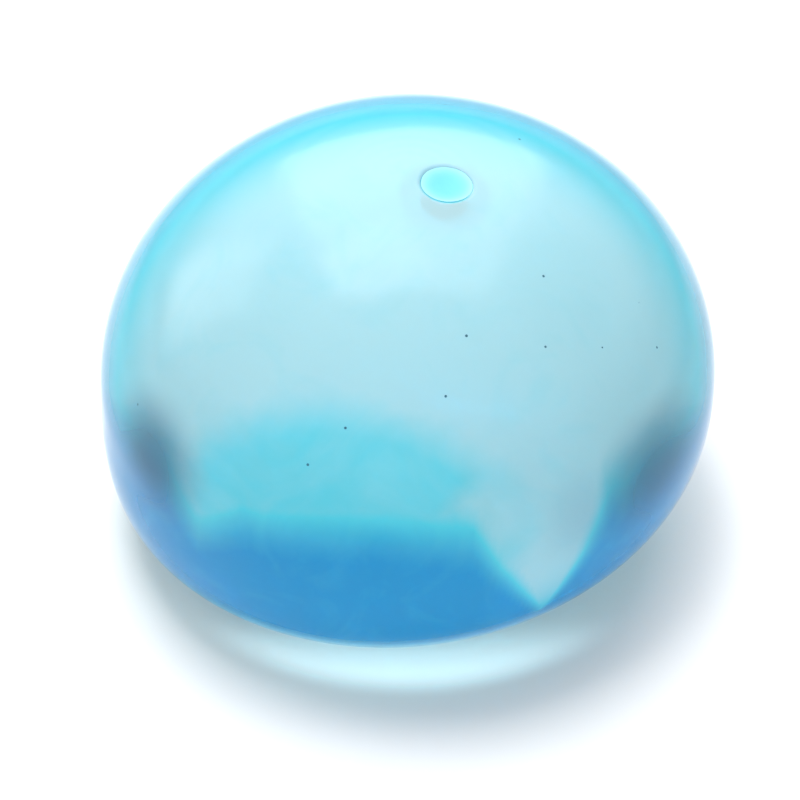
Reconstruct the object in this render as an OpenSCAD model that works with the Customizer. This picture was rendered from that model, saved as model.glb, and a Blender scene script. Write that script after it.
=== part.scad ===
// Squeeze ball: a soft moulded skin, filled with clear syrup and closed by a
// barbed plug near the top. It rests on its own flattened foot. The origin is
// the centre of the foot, +Z is up, and the fill port leans towards +X.

/* [Ball at rest] */
// Widest diameter of the resting ball
ball_w = 66; // [56:1:80]
// Height of the resting ball
ball_h = 45; // [38:1:56]
// Height of the widest ring above the table
belly_z = 17.5; // [14:0.5:21]
// Diameter of the patch that lies flat on the table
foot_d = 26; // [16:1:34]
// Fullness of the flank below the belly, 2 for an ellipse and more for a squarer bulge
belly_fullness = 2.6; // [2:0.1:3]
// Wall of the moulded skin
wall = 1.8; // [1.4:0.1:2.6]

/* [Fill port] */
// Lean of the port away from the top of the ball, in degrees
port_tilt = 6; // [0:0.5:12]
// Direction of the lean seen from above, in degrees
port_turn = -15; // [-180:5:180]
// Bore that the syrup is filled through
port_d = 3.2; // [2.6:0.1:4]
// Rubber left round the seal by the boss inside the skin
boss_rim = 1.8; // [1:0.1:2.4]
// Depth of the boss below the inside of the skin
boss_depth = 2.4; // [1.6:0.1:3.6]

/* [Plug] */
// Reach of the plug's head past the bore, on each side
head_lip = 0.6; // [0.3:0.05:0.9]
// Thickness of the plug's head
head_t = 0.5; // [0.3:0.05:0.7]
// Reach of the barb past the bore, on each side
barb_lip = 0.8; // [0.4:0.05:1.2]
// Length of the barb, from its shoulder to its tip
barb_len = 2.2; // [1.4:0.1:3]
// Diameter of the barb's tip
tip_d = 2; // [1.2:0.1:2.4]

/* [Seal] */
// Reach of the glue seal past the bore, on each side
seal_lip = 1.1; // [1:0.05:1.4]
// Depth of the recess that holds the seal
seal_t = 0.8; // [0.6:0.05:1]
// Drop of the seal's edge below the skin round it
seal_drop = 0.06; // [0.03:0.01:0.12]
// Depth of the hollow that the glue leaves in the seal as it shrinks
seal_dish = 0.2; // [0.1:0.01:0.3]

/* [Fit] */
// Gap round the plug and the seal
fit_gap = 0.05; // [0.02:0.01:0.08]

/* [Hidden] */

// Straight bands that each quarter of the outline is divided into
QUARTER_STEPS = 32;
// Facets of the turned pieces
$fn = 64;

head_d = port_d + 2 * head_lip;
barb_d = port_d + 2 * barb_lip;
seal_d = port_d + 2 * seal_lip;
boss_d = seal_d + 2 * boss_rim;
throat = wall + boss_depth;
barb_lean = atan((barb_d - tip_d) / 2 / barb_len);

// The dome above the belly is a quarter of an ellipse. The port stands square
// to it, where its normal leans by port_tilt.
dome_r = ball_w / 2;
dome_h = ball_h - belly_z;
port_reach = sqrt(pow(dome_r * sin(port_tilt), 2) + pow(dome_h * cos(port_tilt), 2));
port_x = pow(dome_r, 2) * sin(port_tilt) / port_reach;
port_z = belly_z + pow(dome_h, 2) * cos(port_tilt) / port_reach;

// The seal's edge follows the curve of the dome, and its hollow is part of a ball
// that spans dish_w at the edge's height.
crown_r = pow(dome_r, 2) / dome_h;
seal_edge = crown_r - sqrt(pow(crown_r, 2) - pow(seal_d / 2, 2)) + seal_drop;
dish_w = 0.8 * seal_d;
dish_r = (pow(dish_w / 2, 2) + pow(seal_dish, 2)) / (2 * seal_dish);

// Half outline of the ball with its surface moved inwards by inset, from the
// top of the axis down to the foot. Each quarter meets the belly upright.
function dome_point(angle, inset) = [
    (dome_r - inset) * cos(angle),
    belly_z + (dome_h - inset) * sin(angle)
];

function flank_point(angle, inset) = [
    foot_d / 2 + (dome_r - foot_d / 2 - inset) * pow(cos(angle), 2 / belly_fullness),
    belly_z - (belly_z - inset) * pow(sin(angle), 2 / belly_fullness)
];

function half_outline(inset) = concat(
    [[0, inset], [0, ball_h - inset]],
    [for (i = [1 : QUARTER_STEPS]) dome_point(90 - 90 * i / QUARTER_STEPS, inset)],
    [for (i = [1 : QUARTER_STEPS]) flank_point(90 * i / QUARTER_STEPS, inset)]
);

module ball_solid(inset) {
    rotate_extrude() polygon(half_outline(inset));
}

// Places its children on the port's axis, with z = 0 on the outside of the skin
// and z pointing out of the ball.
module at_port() {
    rotate([0, 0, port_turn])
        translate([port_x, 0, port_z])
            rotate([0, port_tilt, 0])
                children();
}

// Cylinder on the port's axis between two depths below the outside of the skin
module port_cylinder(d, from_depth, to_depth) {
    translate([0, 0, -to_depth])
        cylinder(d = d, h = to_depth - from_depth);
}

// Barb below the boss, with every face moved outwards by grow
module barb_shape(grow) {
    shoulder = throat + fit_gap - grow;
    tip = throat + fit_gap + barb_len + grow;
    side = grow / cos(barb_lean);
    end = grow * tan(barb_lean);
    translate([0, 0, -tip])
        cylinder(d1 = tip_d + 2 * (side - end), d2 = barb_d + 2 * (side + end), h = tip - shoulder);
}

// Moulded skin, with the boss and the stepped bore of the fill port
module shell() {
    color("deepskyblue", 0.6)
    difference() {
        union() {
            difference() {
                ball_solid(0);
                ball_solid(wall);
            }
            at_port() port_cylinder(boss_d, wall / 2, throat);
        }
        at_port() {
            port_cylinder(seal_d, -wall, seal_t);
            port_cylinder(head_d, 0, seal_t + head_t);
            port_cylinder(port_d, 0, throat + wall);
        }
    }
}

// Clear syrup that fills the skin and closes round the boss and the barb
module filling() {
    color("lightcyan", 0.5)
    difference() {
        ball_solid(wall);
        at_port() {
            port_cylinder(boss_d, 0, throat);
            barb_shape(fit_gap);
        }
    }
}

// Stopper pushed in through the bore, held by its head and its barb
module plug() {
    color("dodgerblue")
    at_port() {
        port_cylinder(head_d - 2 * fit_gap, seal_t - fit_gap, seal_t + head_t - fit_gap);
        port_cylinder(port_d - 2 * fit_gap, seal_t, throat + 2 * fit_gap);
        barb_shape(0);
    }
}

// Dab of glue that closes the recess over the plug, with a shrunken face
module seal() {
    color("turquoise")
    at_port()
        difference() {
            port_cylinder(seal_d - 2 * fit_gap, seal_edge, seal_t - fit_gap);
            translate([0, 0, dish_r - seal_edge - seal_dish])
                sphere(r = dish_r);
        }
}

shell();
filling();
plug();
seal();
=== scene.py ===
import math

import bmesh
import bpy
import numpy as np
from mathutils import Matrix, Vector, noise


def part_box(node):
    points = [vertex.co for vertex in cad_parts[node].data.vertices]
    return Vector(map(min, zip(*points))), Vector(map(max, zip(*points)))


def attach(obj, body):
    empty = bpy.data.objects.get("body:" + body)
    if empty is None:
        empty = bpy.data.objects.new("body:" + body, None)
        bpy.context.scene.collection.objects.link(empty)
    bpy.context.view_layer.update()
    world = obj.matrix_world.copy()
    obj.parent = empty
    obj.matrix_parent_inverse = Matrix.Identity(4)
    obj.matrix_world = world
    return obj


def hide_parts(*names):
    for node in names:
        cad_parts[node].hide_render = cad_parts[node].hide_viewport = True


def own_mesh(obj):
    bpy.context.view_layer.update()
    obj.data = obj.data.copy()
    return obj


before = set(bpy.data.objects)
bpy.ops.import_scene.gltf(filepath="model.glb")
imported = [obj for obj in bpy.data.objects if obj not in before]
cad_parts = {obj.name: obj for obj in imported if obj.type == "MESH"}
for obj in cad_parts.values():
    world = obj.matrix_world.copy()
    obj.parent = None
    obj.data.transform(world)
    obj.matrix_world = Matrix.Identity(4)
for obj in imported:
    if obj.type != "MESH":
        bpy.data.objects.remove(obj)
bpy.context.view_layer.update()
MM = 0.001

# ---------------------------------------------------------------- the resting ball, measured on the frame
BALL_LOW, BALL_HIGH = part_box("shell")
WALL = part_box("filling")[0].z

# ---------------------------------------------------------------- camera
CAMERA_ELEVATION = math.radians(42)
CAMERA_DISTANCE = 0.48
CAMERA_LENS = 202.2
# The point that the camera looks at, in ball widths to the right of and above the ball's middle
AIM_RIGHT, AIM_UP = -0.0125, -0.1025

# ---------------------------------------------------------------- shape of the visible pieces
AROUND = 288            # points round each ring
RING_STEP = 0.5 * MM    # distance between rings
FOOT_SHIFT = -3.8 * MM  # the patch on the table lies left of the middle
SKEW_TILT = math.radians(42)  # tilt of the skew from straight up, towards the back
SKEW_ENDS = (-6 * MM, -2 * MM)  # depths between which it fades out towards the table
SKEW_FROM_PORT = (5 * MM, 16 * MM)  # distances from the port between which it sets in
SKEW = 0.25 * MM        # the ball rests a little fuller at its upper right and lower left
PATCH_R = 10.6 * MM     # radius that sticks to the table
PRESS = 0.03 * MM       # depth that the foot is pressed into the table
FILL_GAP = 0.03 * MM    # between the inside of the skin and the filling

# Depth below the crown and radius of each step of the port, from the skin's face inwards
SEAL_R, SEAL_EDGE, SEAL_DEPTH = 2.7 * MM, 0.2 * MM, 0.8 * MM
HEAD_R, HEAD_DEPTH = 2.2 * MM, 1.3 * MM
BORE_R, THROAT = 1.6 * MM, 4.2 * MM
BOSS_R, BOSS_EASE = 4.5 * MM, 0.2 * MM
# The pocket that the plug's barb leaves in the syrup, and the syrup's face round the boss
POCKET_R, POCKET_MOUTH = 2.5 * MM, 4.3 * MM
POCKET_TIP_R, POCKET_DEPTH = 1.05 * MM, 6.6 * MM
FACE_R, FACE_DEPTH = 4.5 * MM, 4.25 * MM
FACE_EDGE_R, FACE_EDGE_DEPTH = 4.55 * MM, 4.1 * MM

FINE_FROM = math.radians(135)  # rings are closer from this angle on, round the foot
FINE_SHARE = 0.4               # by this share
POLE_GAP = 0.006               # angle left between the last ring and the pole
RIM_START = 0.002              # angle between the recess and the first ring round it
LIP = 0.5 * MM                 # width over which the foot leaves the table
FOOT_LIFT = 0.04 * MM          # height that the skin round the foot is lifted by
UNDERSIDE = 1.2 * MM           # the foot reaches up to here
SEAL_DISH = 0.25 * MM          # hollow that the glue left as it shrank
SEAL_CREEP = 0.016             # share of its radius that it crept outwards
SEAL_WOBBLE = 0.02             # unevenness of its edge, as a share of its radius
SEAL_WAVE = 0.04 * MM          # unevenness of its face at the edge

# ---------------------------------------------------------------- painted shade and light in the skin's colour
# Turns are in degrees from the front, positive to the right, and heights are above the table.
# The band of painted shade round the lower flank, standing for the shadowed table seen through the ball
BAND_TOP, BAND_FADE = 23.6 * MM, 6.0 * MM
BAND_TOP_FADE = 0.8            # share of the fade that lies above the band's top
BAND_LOW, LOW_FADE = 5.5 * MM, 3 * MM
# The band's top swells by BAND_RISE: middle and half width
BAND_RISE, BAND_SWELL = 2.5 * MM, (-5, 30)
# Notches in the band: turn, half width in degrees, depth
BAND_NOTCHES = [(26, 14, 13 * MM), (-41, 9, 4 * MM)]
# Where the band's edge is sharper, and by what share: turn and half width
NOTCH_EDGE, NOTCH_SHARPER = (27, 17), 0.6
# The lobe: painted light and shade of the table's contact patch seen through the ball, as turn, half turn,
# rise and share of the deep colour
LOBE_TURN, LOBE_HALF_TURN, LOBE_RISE, LOBE_SHADE = -12, 36, 12 * MM, 0.35
LOBE_EDGE = (0.75, 1.1)
# A painted highlight in the lobe: a pale streak beside the right notch, standing for light that the ball
# focuses: turn, half turn, height, half height, strength
PAINTED_CAUSTIC = (15, 11, 25 * MM, 5.5 * MM, 0.8)
PAINTED_CAUSTIC_EDGE = (0.3, 1)
# Dark patches of painted shade, standing for the dark studio seen through the ball: turn, half turn,
# height, half height, strength
PAINTED_DARK_PATCHES = [(-55, 18, 22.5 * MM, 8 * MM, 0.85), (53, 22, 22 * MM, 8 * MM, 0.8), (34, 12, 22 * MM, 7 * MM, 0.2)]
PAINTED_DARK_EDGE = (0.1, 1)

# ---------------------------------------------------------------- optics and colours
SKIN_IOR = 1.39
SKIN_ROUGH, SMUDGE_SCALE = (0.05, 0.13), 160
SKIN_CLEAR = 0.60       # share of the light that the milky skin lets through
SKIN_SHINE = 0.28
# The skin's colour ramp from pale, through the middle point, to deep: the deep end gives the dyed rubber's
# tint at slanting looks and the painted shade of the band
SKIN_PALE, SKIN_MID, SKIN_DEEP = (0.62, 0.95, 0.98, 1), (0.14, 0.88, 1.0, 1), (0.0, 0.39, 0.80, 1)
TINT_MID = 0.45
# Colour of the painted shade in the dark patches
SKIN_PAINTED_DARK = (0.05, 0.15, 0.27, 1)
# How far from square a look has to be for the rim's deeper tint, and how deep that gets
RIM_SLANT, RIM_DYE = (0.35, 0.9), 0.8
CLOUD_SCALE, CLOUD_TWIST, CLOUD_DEPTH = 90, 2.5, 0.10
SPECK_SCALE, SPECK_SIZE, SPECK_SHARE = 500, 0.075, 0.14
SPECK_COLOUR = (0.05, 0.16, 0.22, 1)
# What a metre of each takes off, in red, green and blue
SKIN_SOAKS = (110, 50, 25)
SYRUP_SOAKS = (12, 3, 1.5)
STOPPER_DARK, STOPPER_LIGHT, STOPPER_GRAIN = (0.01, 0.16, 0.42, 1), (0.02, 0.26, 0.58, 1), 3000
GLUE_DARK, GLUE_LIGHT, GLUE_RIM = (0.08, 0.46, 0.66, 1), (0.13, 0.54, 0.72, 1), (0.30, 0.66, 0.78, 1)
GLUE_CLOUD = 420

# ---------------------------------------------------------------- paper, sky and lamps
FLOOR_SIZE = 4
BOUNCES, CLAMP = 24, 4  # light's steps through the rubber, and the limit on its brightest paths
# The paper darkens from its first to its second colour between these distances from the ball: painted
# shade, standing for the unlit floor of the studio further out
PAPER_R = (0.085, 0.14)
PAPER_NEAR, PAPER_FAR = (0.80, 0.80, 0.80, 1), (0.42, 0.42, 0.42, 1)
# The glow on the paper: distances where it starts, is full, starts to fade and ends
GLOW_R = (18 * MM, 26 * MM, 28 * MM, 32 * MM)
GLOW_Y = (-29 * MM, -19 * MM)
GLOW_POWER, GLOW_COLOUR = 0.5, (0.62, 0.9, 0.97, 1)
# Height, as a sine, over which the dim horizon turns into the bright tent
SKY_EDGE = (0.0, 0.5)
SKY_LOW, SKY_HIGH = 0.3, 0.8
# Azimuth, elevation, half width and half height as tangents, soft edge, strength
FLAGS = [
    (-69, 42, 0.36, 0.30, 0.15, 0.85),
    (69, 42, 0.36, 0.30, 0.15, 0.85),
]
LIGHTS = [
    (0, 50, 0.48, 0.75, 0.08, 2.1),
    (-62, 24, 0.22, 0.3, 0.1, 2.0),
]
# Place, size and power of each lamp, in metres and watts
LAMPS = {"lamp": ((-0.16, 0.24, 1.0), 0.45, 6.0), "fill_lamp": ((0.0, -0.95, 0.28), 0.5, 3.6)}


def node_points(name):
    """Vertices of a CAD node, in the row frame."""
    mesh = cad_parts[name].data
    co = np.zeros(len(mesh.vertices) * 3)
    mesh.vertices.foreach_get("co", co)
    return co.reshape(-1, 3)


def turned_profile(name):
    """Outer half profile of a turned, bulging node as rows of (radius, height), from top to foot."""
    co = node_points(name)
    half = np.unique(np.round(np.c_[np.hypot(co[:, 0], co[:, 1]), co[:, 2]], 7), axis=0)
    chain = []
    for r, z in sorted(half.tolist(), key=lambda p: (-p[1], p[0])):
        while len(chain) > 1:
            (r0, z0), (r1, z1) = chain[-2], chain[-1]
            if (r1 - r0) * (z - z0) - (z1 - z0) * (r - r0) < -1e-16:
                break
            chain.pop()
        chain.append((r, z))
    return np.array(chain)


OUTLINE = turned_profile("shell")
DOME_R = OUTLINE[:, 0].max()
BELLY_Z = OUTLINE[OUTLINE[:, 0].argmax(), 1]
FOOT_R = OUTLINE[-1, 0]
DOME_H = BALL_HIGH.z - BELLY_Z

# The fill port's axis is the plug's long axis. It meets the ball's axis at the centre of the crown's curve.
plug_co = node_points("plug")
PORT_AXIS = np.linalg.svd(plug_co - plug_co.mean(0), full_matrices=False)[2][0]
PORT_AXIS *= math.copysign(1, PORT_AXIS[2])
_reach = np.hypot(*plug_co.mean(0)[:2]) / np.hypot(*PORT_AXIS[:2])
CENTRE = np.array([0, 0, (plug_co.mean(0) - _reach * PORT_AXIS)[2]])
PORT_X = np.cross([0, 1, 0], PORT_AXIS)
PORT_X /= np.linalg.norm(PORT_X)
PORT_Y = np.cross(PORT_AXIS, PORT_X)


def drawn_in(inset):
    """The ball's outline with its surface moved inwards by inset, as part of the CAD's own rule."""
    r, z = OUTLINE[:, 0], OUTLINE[:, 1]
    dome = z > BELLY_Z
    flank = FOOT_R + (r - FOOT_R) * (DOME_R - FOOT_R - inset) / (DOME_R - FOOT_R)
    r2 = np.where(dome, r * (DOME_R - inset) / DOME_R, np.where(r < FOOT_R, r, flank))
    z2 = np.where(dome, BELLY_Z + (z - BELLY_Z) * (DOME_H - inset) / DOME_H,
                  BELLY_Z - (BELLY_Z - z) * (BELLY_Z - inset) / BELLY_Z)
    return np.c_[r2, z2]


def polar(inset):
    """The outline as a smooth function: distance from CENTRE at an angle from straight up."""
    profile = drawn_in(inset)
    foot = np.linspace(FOOT_R, 0, 24)[1:]
    profile = np.r_[profile, np.c_[foot, np.full(len(foot), inset)]]
    angle = np.arctan2(profile[:, 0], profile[:, 1] - CENTRE[2])
    reach = np.hypot(profile[:, 0], profile[:, 1] - CENTRE[2])
    keep = np.r_[True, np.diff(angle) > 1e-4]
    angle, reach = angle[keep], reach[keep]
    angle = np.r_[-angle[2:0:-1], angle, 2 * np.pi - angle[-2:-4:-1]]
    reach = np.r_[reach[2:0:-1], reach, reach[-2:-4:-1]]
    slope = np.gradient(reach, angle)

    def at(a):
        i = np.clip(np.searchsorted(angle, a, side="right") - 1, 0, len(angle) - 2)
        w = angle[i + 1] - angle[i]
        t = (a - angle[i]) / w
        h00, h10 = (1 + 2 * t) * (1 - t) ** 2, t * (1 - t) ** 2
        h01, h11 = t * t * (3 - 2 * t), t * t * (t - 1)
        return h00 * reach[i] + h10 * w * slope[i] + h01 * reach[i + 1] + h11 * w * slope[i + 1]
    return at


def smooth(x, low, high):
    """0 up to low, 1 from high on, and a smooth step between."""
    t = np.clip((x - low) / (high - low), 0, 1)
    return t * t * (3 - 2 * t)


TURN = np.arange(AROUND) * 2 * np.pi / AROUND
ROUND = np.cos(TURN)[:, None] * PORT_X + np.sin(TURN)[:, None] * PORT_Y


def ball_ring(reach_at, u):
    """Ring of the ball's surface where the angle from the port's axis, about CENTRE, is u."""
    d = math.cos(u) * PORT_AXIS + math.sin(u) * ROUND
    theta = np.arccos(np.clip(d[:, 2], -1, 1))
    return CENTRE + reach_at(theta)[:, None] * d


def ball_rings(reach_at, first):
    """Rings from the angle first to just short of the far pole."""
    rings, u = [], first
    while u < math.pi - POLE_GAP:
        rings.append(ball_ring(reach_at, u))
        step = RING_STEP * (FINE_SHARE if u > FINE_FROM else 1)
        u += step / float(reach_at(min(u, math.pi)))
    return rings


def port_ring(r, depth, crown):
    """Ring of radius r on the port's axis, depth below the crown's surface there."""
    return CENTRE + (crown - depth) * PORT_AXIS + r * ROUND


def ring_mesh(name, rings, first_pole, last_pole):
    """Closed mesh through the rings in order, with a pole at each end."""
    n = len(rings)
    verts = np.concatenate([[first_pole]] + [np.asarray(r) for r in rings] + [[last_pole]])
    faces = []
    last = len(verts) - 1
    for j in range(AROUND):
        k = (j + 1) % AROUND
        faces.append((0, 1 + j, 1 + k))
        for i in range(n - 1):
            here, below = 1 + i * AROUND, 1 + (i + 1) * AROUND
            faces.append((here + j, below + j, below + k, here + k))
        faces.append((last, 1 + (n - 1) * AROUND + k, 1 + (n - 1) * AROUND + j))
    mesh = bpy.data.meshes.new(name)
    mesh.from_pydata(verts.tolist(), [], faces)
    mesh.validate()
    obj = bpy.data.objects.new(name, mesh)
    bpy.context.scene.collection.objects.link(obj)
    bm = bmesh.new()
    bm.from_mesh(mesh)
    if bm.calc_volume(signed=True) < 0:
        bmesh.ops.reverse_faces(bm, faces=bm.faces)
    for f in bm.faces:
        f.smooth = True
    bm.to_mesh(mesh)
    bm.free()
    return obj


def settle(co):
    """The resting ball isn't quite round: its foot lies to one side, and it is skewed."""
    co = np.array(co, float)
    low = np.clip(1 - co[:, 2] / BELLY_Z, 0, 1) ** 2
    co[:, 0] += FOOT_SHIFT * low
    d = co - np.array([0, 0, BELLY_Z])
    size = np.linalg.norm(d, axis=1, keepdims=True)
    d = d / size
    up = np.array([0, math.sin(SKEW_TILT), math.cos(SKEW_TILT)])
    away = 1 - smooth(-co[:, 2], *SKEW_ENDS)
    near_port = np.linalg.norm(co - (CENTRE + crown_out * PORT_AXIS), axis=1)
    bulge = SKEW * 2 * d[:, 0] * (d @ up) * away * smooth(near_port, *SKEW_FROM_PORT)
    return co + bulge[:, None] * d


out_at, in_at = polar(0), polar(WALL)
port_theta = math.acos(PORT_AXIS[2])
crown_out, crown_in = float(out_at(port_theta)), float(in_at(port_theta))
far = -PORT_AXIS
far_theta = math.acos(far[2])
OUT_POLE = CENTRE + float(out_at(far_theta)) * far
IN_POLE = CENTRE + float(in_at(far_theta)) * far


def contact(co):
    """Presses the outside of the skin onto the table over a round patch, and lifts the rest a little."""
    r = np.hypot(co[:, 0] - FOOT_SHIFT, co[:, 1])
    under = co[:, 2] < UNDERSIDE
    press = -PRESS * (1 - smooth(r, PATCH_R - LIP, PATCH_R + LIP))
    lift = FOOT_LIFT * smooth(r, PATCH_R - LIP, PATCH_R + LIP)
    co[:, 2] += np.where(under, press + lift, FOOT_LIFT)
    return co


def hump(x, middle, half_width):
    """1 at the middle, falling smoothly to 0 at half_width from it."""
    return 1 - smooth(np.abs(x - middle), 0, half_width)


def painted_band_depth(co):
    """How deeply the skin is painted: a band of painted shade round the lower flank, with a paler lobe over
    its front.

    A fixed pattern that stands for what the real ball's syrup does to the light behind it: the band is
    painted shade standing for the shadowed table seen through the ball, and the lobe is painted light and
    shade of the table's contact patch seen through it.
    The band's upper edge dips at two notches.
    """
    turn = np.degrees(np.arctan2(co[:, 0], -co[:, 1]))
    z = co[:, 2]
    top = BAND_TOP + BAND_RISE * hump(turn, *BAND_SWELL)
    for middle, half_width, depth in BAND_NOTCHES:
        top = top - depth * np.maximum(1 - np.abs(turn - middle) / half_width, 0)
    fade = BAND_FADE * (1 - NOTCH_SHARPER * hump(turn, *NOTCH_EDGE))
    band = 1 - smooth(z, top - fade, top + BAND_TOP_FADE * fade)
    band = band * smooth(z, BAND_LOW - LOW_FADE, BAND_LOW + LOW_FADE)
    reach = np.hypot((turn - LOBE_TURN) / LOBE_HALF_TURN, (z - BAND_TOP) / LOBE_RISE)
    lobe = (1 - smooth(reach, *LOBE_EDGE)) * (z > BAND_LOW)
    # painted highlight: a pale streak in the lobe, standing for light that the ball focuses
    middle, half_turn, height, half_height, share = PAINTED_CAUSTIC
    pale = np.hypot((turn - middle) / half_turn, (z - height) / half_height)
    lobe = lobe * (1 - share * (1 - smooth(pale, *PAINTED_CAUSTIC_EDGE)))
    return np.clip(np.maximum(band, lobe * LOBE_SHADE), 0, 1)


def painted_dark_depth(co):
    """How dark the skin is painted in patches beside the lobe: painted shade standing for the dark studio
    seen through the ball, part of the same fixed pattern.
    """
    turn = np.degrees(np.arctan2(co[:, 0], -co[:, 1]))
    depth = np.zeros(len(co))
    for middle, half_turn, height, half_height, share in PAINTED_DARK_PATCHES:
        reach = np.hypot((turn - middle) / half_turn, (co[:, 2] - height) / half_height)
        depth = np.maximum(depth, share * (1 - smooth(reach, *PAINTED_DARK_EDGE)))
    return depth


def build_skin():
    """Closed shell: its outer face up to the recess, the port's steps, and its inner face back."""
    rings = ball_rings(out_at, math.asin(SEAL_R / crown_out) + RIM_START)[::-1]
    n_out = len(rings)
    rings += [port_ring(SEAL_R, depth, crown_out) for depth in (SEAL_EDGE, SEAL_DEPTH)]
    n_seen = len(rings)
    steps = [(HEAD_R, SEAL_DEPTH), (HEAD_R, HEAD_DEPTH), (BORE_R, HEAD_DEPTH), (BORE_R, THROAT),
             (BOSS_R - BOSS_EASE, THROAT), (BOSS_R, THROAT - BOSS_EASE)]
    rings += [port_ring(r, depth, crown_out) for r, depth in steps]
    rings += ball_rings(in_at, math.asin(BOSS_R / crown_in))
    skin = ring_mesh("skin", rings, OUT_POLE, IN_POLE)
    co = settle(np.array([v.co for v in skin.data.vertices]))
    n_outer = 1 + n_out * AROUND
    co[:n_outer] = contact(co[:n_outer])
    skin.data.vertices.foreach_set("co", co.ravel())
    seen = np.zeros(len(co))
    seen[:1 + n_seen * AROUND] = 1
    skin.data.attributes.new("outside", "FLOAT", "POINT").data.foreach_set("value", seen)
    # The band, lobe and dark patches are painted shade and light in the skin's colour
    skin.data.attributes.new("painted_band", "FLOAT", "POINT").data.foreach_set("value", painted_band_depth(co) * seen)
    skin.data.attributes.new("painted_dark", "FLOAT", "POINT").data.foreach_set("value", painted_dark_depth(co) * seen)
    return skin


def build_filling():
    """The syrup: it fills the skin, round the boss and the plug's barb."""
    fill_at = polar(WALL + FILL_GAP)
    first = CENTRE + (crown_out - POCKET_DEPTH) * PORT_AXIS
    steps = [(POCKET_TIP_R, POCKET_DEPTH), (POCKET_R, POCKET_MOUTH),
             (FACE_R, FACE_DEPTH), (FACE_EDGE_R, FACE_EDGE_DEPTH)]
    rings = [port_ring(r, depth, crown_out) for r, depth in steps]
    rings += ball_rings(fill_at, math.asin(FACE_EDGE_R / crown_in))
    pole = CENTRE + float(fill_at(far_theta)) * far
    fill = ring_mesh("syrup", rings, first, pole)
    co = settle(np.array([v.co for v in fill.data.vertices]))
    fill.data.vertices.foreach_set("co", co.ravel())
    return fill


def port_span(name):
    """Radius of a turned node about the port's axis, and the depths of its outer and inner ends."""
    co = node_points(name) - CENTRE
    along = co @ PORT_AXIS
    radius = np.linalg.norm(co - along[:, None] * PORT_AXIS, axis=1).max()
    return radius, crown_out - along.max(), crown_out - along.min()


def build_seal():
    """A dab of glue in the recess: dished where it shrank, its edge crept unevenly up the wall."""
    radius, edge, base = port_span("seal")
    wobble = np.array([noise.noise(Vector((1.3 * math.cos(t), 1.3 * math.sin(t), 4.0))) for t in TURN])
    creep = 1 + SEAL_CREEP + SEAL_WOBBLE * (wobble - wobble.max())

    def top_ring(share):
        dish = SEAL_DISH * (1 - share ** 2) + SEAL_WAVE * wobble * share ** 3
        ring = CENTRE + radius * share * creep[:, None] * ROUND
        return ring + (crown_out - edge - dish)[:, None] * PORT_AXIS

    shares = [0.08, 0.2, 0.32, 0.44, 0.56, 0.68, 0.78, 0.86, 0.92, 0.96, 0.985, 1.0]
    rings = [top_ring(share) for share in shares]
    rings += [CENTRE + radius * share * creep[:, None] * ROUND + (crown_out - base) * PORT_AXIS
              for share in (1.0, 0.97, 0.5)]
    centre = CENTRE + (crown_out - edge - SEAL_DISH) * PORT_AXIS
    seal = ring_mesh("glue_seal", rings, centre, CENTRE + (crown_out - base) * PORT_AXIS)
    face = [np.full(AROUND, share ** 4) for share in shares]
    rim = np.concatenate([[0]] + face + [np.ones(3 * AROUND + 1)])
    seal.data.attributes.new("rim", "FLOAT", "POINT").data.foreach_set("value", rim)
    return seal


# ---------------------------------------------------------------- materials
def new_material(name):
    mat = bpy.data.materials.new(name)
    mat.use_nodes = True
    nt = mat.node_tree
    return mat, nt, nt.nodes["Principled BSDF"], nt.nodes["Material Output"]


def mix_value(nt, factor, low, high):
    """low where factor is 0 and high where it is 1."""
    m = nt.nodes.new("ShaderNodeMapRange")
    nt.links.new(factor, m.inputs["Value"])
    m.inputs["To Min"].default_value = low
    m.inputs["To Max"].default_value = high
    return m.outputs["Result"]


def soaks(nt, out, rates):
    """Fills a material with what soaks up light at the given rates, in red, green and blue."""
    v = nt.nodes.new("ShaderNodeVolumeAbsorption")
    v.inputs["Density"].default_value = max(rates)
    v.inputs["Color"].default_value = [1 - rate / max(rates) for rate in rates] + [1]
    nt.links.new(v.outputs[0], out.inputs["Volume"])


def mix_colour(nt, factor, low, high):
    m = nt.nodes.new("ShaderNodeMix")
    m.data_type = "RGBA"
    nt.links.new(factor, m.inputs[0])
    m.inputs[6].default_value = low
    m.inputs[7].default_value = high
    return m.outputs[2]


def on_object(nt):
    """Coordinates in metres, fixed to the object."""
    return nt.nodes.new("ShaderNodeTexCoord").outputs["Object"]


def attribute(nt, name):
    a = nt.nodes.new("ShaderNodeAttribute")
    a.attribute_name = name
    return a.outputs["Fac"]


def specks(nt):
    """1 on a few scattered grains of dust, and 0 elsewhere."""
    cells = nt.nodes.new("ShaderNodeTexVoronoi")
    nt.links.new(on_object(nt), cells.inputs["Vector"])
    cells.inputs["Scale"].default_value = SPECK_SCALE
    size = nt.nodes.new("ShaderNodeMath")
    size.operation = "LESS_THAN"
    nt.links.new(cells.outputs["Distance"], size.inputs[0])
    size.inputs[1].default_value = SPECK_SIZE
    chosen = nt.nodes.new("ShaderNodeMath")
    chosen.operation = "GREATER_THAN"
    pick = nt.nodes.new("ShaderNodeSeparateColor")
    nt.links.new(cells.outputs["Color"], pick.inputs[0])
    nt.links.new(pick.outputs[0], chosen.inputs[0])
    chosen.inputs[1].default_value = 1 - SPECK_SHARE
    both = nt.nodes.new("ShaderNodeMath")
    both.operation = "MULTIPLY"
    nt.links.new(size.outputs[0], both.inputs[0])
    nt.links.new(chosen.outputs[0], both.inputs[1])
    return both.outputs[0]


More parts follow.
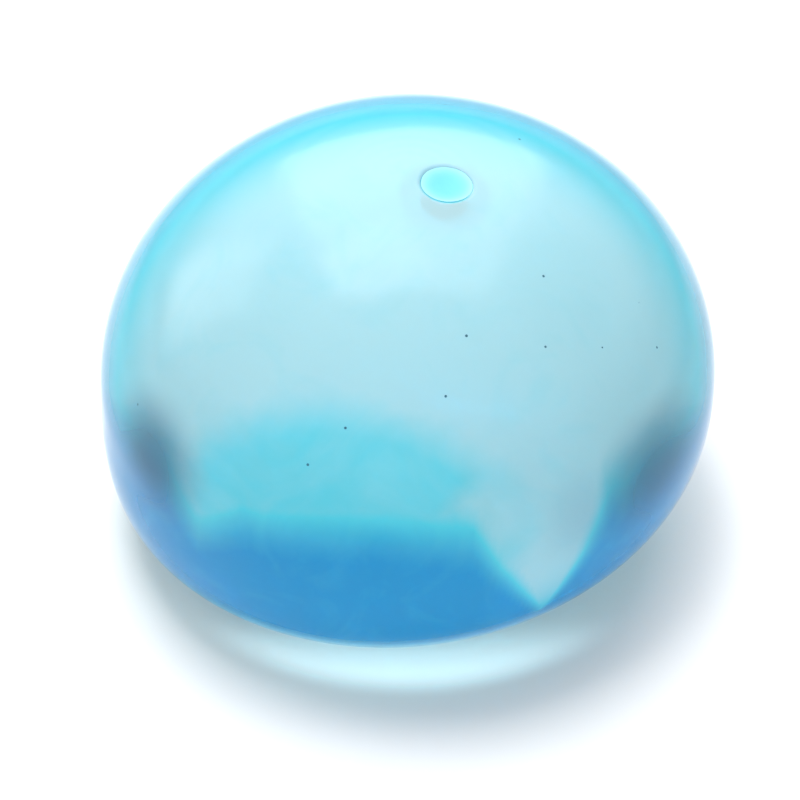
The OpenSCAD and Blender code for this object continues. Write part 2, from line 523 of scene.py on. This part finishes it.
def skin_material():
    mat, nt, p, out = new_material("skin_rubber")
    outside = attribute(nt, "outside")
    p.inputs["Transmission Weight"].default_value = SKIN_CLEAR
    p.inputs["IOR"].default_value = SKIN_IOR
    p.inputs["Specular IOR Level"].default_value = SKIN_SHINE
    colour = nt.nodes.new("ShaderNodeValToRGB")
    ramp = colour.color_ramp
    ramp.elements[0].color, ramp.elements[1].color = SKIN_PALE, SKIN_DEEP
    ramp.elements.new(TINT_MID).color = SKIN_MID
    cloud = nt.nodes.new("ShaderNodeTexNoise")
    nt.links.new(on_object(nt), cloud.inputs["Vector"])
    cloud.inputs["Scale"].default_value = CLOUD_SCALE
    cloud.inputs["Distortion"].default_value = CLOUD_TWIST
    cloud.inputs["Detail"].default_value = 3
    # the painted shade and light of the band and lobe, with random clouds in the tone
    drift = nt.nodes.new("ShaderNodeMath")
    drift.operation = "ADD"
    nt.links.new(attribute(nt, "painted_band"), drift.inputs[0])
    nt.links.new(mix_value(nt, cloud.outputs["Fac"], -CLOUD_DEPTH, CLOUD_DEPTH), drift.inputs[1])
    # a slanting look passes through more of the dyed rubber, from whichever side it comes
    slant = nt.nodes.new("ShaderNodeLayerWeight")
    slant.inputs["Blend"].default_value = 0.5
    rim = nt.nodes.new("ShaderNodeMapRange")
    rim.interpolation_type = "SMOOTHSTEP"
    nt.links.new(slant.outputs["Facing"], rim.inputs["Value"])
    rim.inputs["From Min"].default_value, rim.inputs["From Max"].default_value = RIM_SLANT
    rim.inputs["To Max"].default_value = RIM_DYE
    deeper = nt.nodes.new("ShaderNodeMath")
    deeper.operation = "MAXIMUM"
    nt.links.new(drift.outputs[0], deeper.inputs[0])
    nt.links.new(rim.outputs["Result"], deeper.inputs[1])
    nt.links.new(deeper.outputs[0], colour.inputs["Fac"])
    # painted shade: dark patches beside the lobe
    painted_dark_mix = nt.nodes.new("ShaderNodeMix")
    painted_dark_mix.data_type = "RGBA"
    nt.links.new(attribute(nt, "painted_dark"), painted_dark_mix.inputs[0])
    nt.links.new(colour.outputs["Color"], painted_dark_mix.inputs[6])
    painted_dark_mix.inputs[7].default_value = SKIN_PAINTED_DARK
    dirty = nt.nodes.new("ShaderNodeMix")
    dirty.data_type = "RGBA"
    nt.links.new(specks(nt), dirty.inputs[0])
    nt.links.new(painted_dark_mix.outputs[2], dirty.inputs[6])
    dirty.inputs[7].default_value = SPECK_COLOUR
    nt.links.new(dirty.outputs[2], p.inputs["Base Color"])
    nt.links.new(mix_value(nt, outside, 1.0, SKIN_IOR), p.inputs["IOR"])
    smudge = nt.nodes.new("ShaderNodeTexNoise")
    nt.links.new(on_object(nt), smudge.inputs["Vector"])
    smudge.inputs["Scale"].default_value = SMUDGE_SCALE
    smudge.inputs["Detail"].default_value = 4
    gloss = nt.nodes.new("ShaderNodeMath")
    gloss.operation = "MULTIPLY"
    nt.links.new(outside, gloss.inputs[0])
    nt.links.new(mix_value(nt, smudge.outputs["Fac"], *SKIN_ROUGH), gloss.inputs[1])
    nt.links.new(gloss.outputs[0], p.inputs["Roughness"])
    soaks(nt, out, SKIN_SOAKS)
    return mat


def syrup_material():
    mat, nt, p, out = new_material("clear_syrup")
    p.inputs["Base Color"].default_value = (1, 1, 1, 1)
    p.inputs["Transmission Weight"].default_value = 1
    p.inputs["IOR"].default_value = 1.0
    p.inputs["Roughness"].default_value = 0
    soaks(nt, out, SYRUP_SOAKS)
    return mat


def stopper_material():
    """Soft blue rubber with a fine moulded grain."""
    mat, nt, p, out = new_material("stopper_rubber")
    grain = nt.nodes.new("ShaderNodeTexNoise")
    nt.links.new(on_object(nt), grain.inputs["Vector"])
    grain.inputs["Scale"].default_value = STOPPER_GRAIN
    nt.links.new(mix_colour(nt, grain.outputs["Fac"], STOPPER_DARK, STOPPER_LIGHT), p.inputs["Base Color"])
    nt.links.new(mix_value(nt, grain.outputs["Fac"], 0.45, 0.65), p.inputs["Roughness"])
    bump = nt.nodes.new("ShaderNodeBump")
    bump.inputs["Strength"].default_value = 0.2
    bump.inputs["Distance"].default_value = 0.1 * MM
    nt.links.new(grain.outputs["Fac"], bump.inputs["Height"])
    nt.links.new(bump.outputs["Normal"], p.inputs["Normal"])
    return mat


def glue_material():
    """Matt, cloudy cyan glue, thinner and paler towards its rim."""
    mat, nt, p, out = new_material("cloudy_glue")
    cloud = nt.nodes.new("ShaderNodeTexNoise")
    nt.links.new(on_object(nt), cloud.inputs["Vector"])
    cloud.inputs["Scale"].default_value = GLUE_CLOUD
    cloud.inputs["Detail"].default_value = 4
    rim = attribute(nt, "rim")
    cloudy = mix_colour(nt, cloud.outputs["Fac"], GLUE_DARK, GLUE_LIGHT)
    tint = nt.nodes.new("ShaderNodeMix")
    tint.data_type = "RGBA"
    nt.links.new(rim, tint.inputs[0])
    nt.links.new(cloudy, tint.inputs[6])
    tint.inputs[7].default_value = GLUE_RIM
    nt.links.new(tint.outputs[2], p.inputs["Base Color"])
    p.inputs["Roughness"].default_value = 0.55
    bump = nt.nodes.new("ShaderNodeBump")
    bump.inputs["Strength"].default_value = 0.3
    bump.inputs["Distance"].default_value = 0.2 * MM
    nt.links.new(cloud.outputs["Fac"], bump.inputs["Height"])
    nt.links.new(bump.outputs["Normal"], p.inputs["Normal"])
    return mat


def floor_material():
    """Pale paper, darker beyond the camera's view as painted shade, with a soft glow painted on it before
    the ball.
    """
    mat, nt, p, out = new_material("paper")
    p.inputs["Roughness"].default_value = 0.6
    at = nt.nodes.new("ShaderNodeNewGeometry").outputs["Position"]
    reach = nt.nodes.new("ShaderNodeVectorMath")
    reach.operation = "LENGTH"
    nt.links.new(at, reach.inputs[0])
    m = nt.nodes.new("ShaderNodeMapRange")
    m.interpolation_type = "SMOOTHSTEP"
    nt.links.new(reach.outputs["Value"], m.inputs["Value"])
    m.inputs["From Min"].default_value = PAPER_R[0]
    m.inputs["From Max"].default_value = PAPER_R[1]
    # painted shade: the paper darkens away from the ball
    nt.links.new(mix_colour(nt, m.outputs["Result"], PAPER_NEAR, PAPER_FAR), p.inputs["Base Color"])
    # stands for the light that the ball gathers onto the paper
    rise, fall = nt.nodes.new("ShaderNodeMapRange"), nt.nodes.new("ShaderNodeMapRange")
    for node, span in ((rise, GLOW_R[:2]), (fall, GLOW_R[2:])):
        node.interpolation_type = "SMOOTHSTEP"
        nt.links.new(reach.outputs["Value"], node.inputs["Value"])
        node.inputs["From Min"].default_value, node.inputs["From Max"].default_value = span
    fall.inputs["To Min"].default_value, fall.inputs["To Max"].default_value = 1, 0
    before = nt.nodes.new("ShaderNodeMapRange")
    before.interpolation_type = "SMOOTHSTEP"
    split = nt.nodes.new("ShaderNodeSeparateXYZ")
    nt.links.new(at, split.inputs[0])
    nt.links.new(split.outputs["Y"], before.inputs["Value"])
    before.inputs["From Min"].default_value, before.inputs["From Max"].default_value = GLOW_Y
    before.inputs["To Min"].default_value, before.inputs["To Max"].default_value = GLOW_POWER, 0
    ring, glow = nt.nodes.new("ShaderNodeMath"), nt.nodes.new("ShaderNodeMath")
    ring.operation = glow.operation = "MULTIPLY"
    nt.links.new(rise.outputs["Result"], ring.inputs[0])
    nt.links.new(fall.outputs["Result"], ring.inputs[1])
    nt.links.new(ring.outputs[0], glow.inputs[0])
    nt.links.new(before.outputs["Result"], glow.inputs[1])
    nt.links.new(glow.outputs[0], p.inputs["Emission Strength"])
    p.inputs["Emission Color"].default_value = GLOW_COLOUR
    return mat


# ---------------------------------------------------------------- light: a studio sky of soft boxes
def direction(azimuth, elevation):
    """Azimuth 0 is straight behind the ball as the camera sees it, and positive to the right."""
    a, e = math.radians(azimuth), math.radians(elevation)
    return Vector((math.sin(a) * math.cos(e), math.cos(a) * math.cos(e), math.sin(e)))


def build_world():
    world = bpy.data.worlds.new("studio")
    bpy.context.scene.world = world
    world.use_nodes = True
    nt = world.node_tree
    nt.nodes.clear()
    link = nt.links.new
    coord = nt.nodes.new("ShaderNodeTexCoord").outputs["Generated"]

    def math_node(op, a, b=None, c=None):
        m = nt.nodes.new("ShaderNodeMath")
        m.operation = op
        for i, x in enumerate((a, b, c)):
            if x is None:
                continue
            if isinstance(x, (int, float)):
                m.inputs[i].default_value = x
            else:
                link(x, m.inputs[i])
        return m.outputs[0]

    def dot(v):
        d = nt.nodes.new("ShaderNodeVectorMath")
        d.operation = "DOT_PRODUCT"
        link(coord, d.inputs[0])
        d.inputs[1].default_value = v
        return d.outputs["Value"]

    def step(x, low, high):
        m = nt.nodes.new("ShaderNodeMapRange")
        m.interpolation_type = "SMOOTHSTEP"
        link(x, m.inputs["Value"])
        m.inputs["From Min"].default_value = low
        m.inputs["From Max"].default_value = high
        return m.outputs["Result"]

    def box(azimuth, elevation, half_w, half_h, soft):
        centre = direction(azimuth, elevation)
        right = direction(azimuth + 90, 0)
        along = dot(centre)
        ahead = step(along, 0.02, 0.06)
        px = math_node("DIVIDE", dot(right), math_node("MAXIMUM", along, 0.02))
        py = math_node("DIVIDE", dot(right.cross(centre)), math_node("MAXIMUM", along, 0.02))
        mx = math_node("SUBTRACT", 1, step(math_node("ABSOLUTE", px), half_w - soft, half_w + soft))
        my = math_node("SUBTRACT", 1, step(math_node("ABSOLUTE", py), half_h - soft, half_h + soft))
        return math_node("MULTIPLY", ahead, math_node("MULTIPLY", mx, my))

    z = dot((0, 0, 1))
    total = math_node("ADD", math_node("MULTIPLY", step(z, *SKY_EDGE), SKY_HIGH - SKY_LOW), SKY_LOW)
    for az, el, hw, hh, soft, power in FLAGS:
        shade = math_node("MULTIPLY", box(az, el, hw, hh, soft), power)
        total = math_node("MULTIPLY", total, math_node("SUBTRACT", 1, shade))
    for az, el, hw, hh, soft, power in LIGHTS:
        total = math_node("ADD", total, math_node("MULTIPLY", box(az, el, hw, hh, soft), power))
    bg = nt.nodes.new("ShaderNodeBackground")
    out = nt.nodes.new("ShaderNodeOutputWorld")
    link(total, bg.inputs["Strength"])
    bg.inputs["Color"].default_value = (1, 1, 1, 1)
    link(bg.outputs[0], out.inputs["Surface"])


def build_lamp(name, place, size, power):
    """A broad soft lamp that doesn't mirror in the ball."""
    lamp = bpy.data.objects.new(name, bpy.data.lights.new(name, "AREA"))
    bpy.context.scene.collection.objects.link(lamp)
    lamp.data.size = size
    lamp.data.energy = power
    lamp.location = place
    lamp.rotation_euler = (-Vector(place)).to_track_quat("-Z", "Y").to_euler()
    lamp.visible_glossy = False


def build_camera():
    cam = bpy.data.objects.new("camera", bpy.data.cameras.new("camera"))
    bpy.context.scene.collection.objects.link(cam)
    cam.data.lens = CAMERA_LENS
    cam.data.clip_start = 0.01
    width = BALL_HIGH.x - BALL_LOW.x
    forward = Vector((0, math.cos(CAMERA_ELEVATION), -math.sin(CAMERA_ELEVATION)))
    up = Vector((0, math.sin(CAMERA_ELEVATION), math.cos(CAMERA_ELEVATION)))
    aim = Vector((AIM_RIGHT * width, 0, BALL_HIGH.z / 2)) + up * (AIM_UP * width)
    cam.location = Vector((0, 0, BALL_HIGH.z / 2)) - forward * CAMERA_DISTANCE
    cam.rotation_euler = (aim - cam.location).to_track_quat("-Z", "Y").to_euler()
    bpy.context.scene.camera = cam


# ---------------------------------------------------------------- the scene
skin = build_skin()
skin.data.materials.append(skin_material())
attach(skin, "ball")
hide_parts("shell")

syrup = build_filling()
syrup.data.materials.append(syrup_material())
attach(syrup, "ball")
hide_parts("filling")

glue_seal = build_seal()
glue_seal.data.materials.append(glue_material())
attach(glue_seal, "crown")
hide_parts("seal")

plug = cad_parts["plug"]
for place in plug.material_slots:
    place.material = stopper_material()

for piece in (skin, syrup):
    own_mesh(piece)

bpy.ops.mesh.primitive_plane_add(size=FLOOR_SIZE)
floor = bpy.context.object
floor.name = "floor"
floor.data.materials.append(floor_material())

build_world()
for lamp_name, (place, size, power) in LAMPS.items():
    build_lamp(lamp_name, place, size, power)
build_camera()
bpy.context.scene.view_settings.view_transform = "Standard"
bpy.context.scene.cycles.max_bounces = BOUNCES
bpy.context.scene.cycles.sample_clamp_indirect = CLAMP
bpy.context.scene.cycles.transmission_bounces = BOUNCES
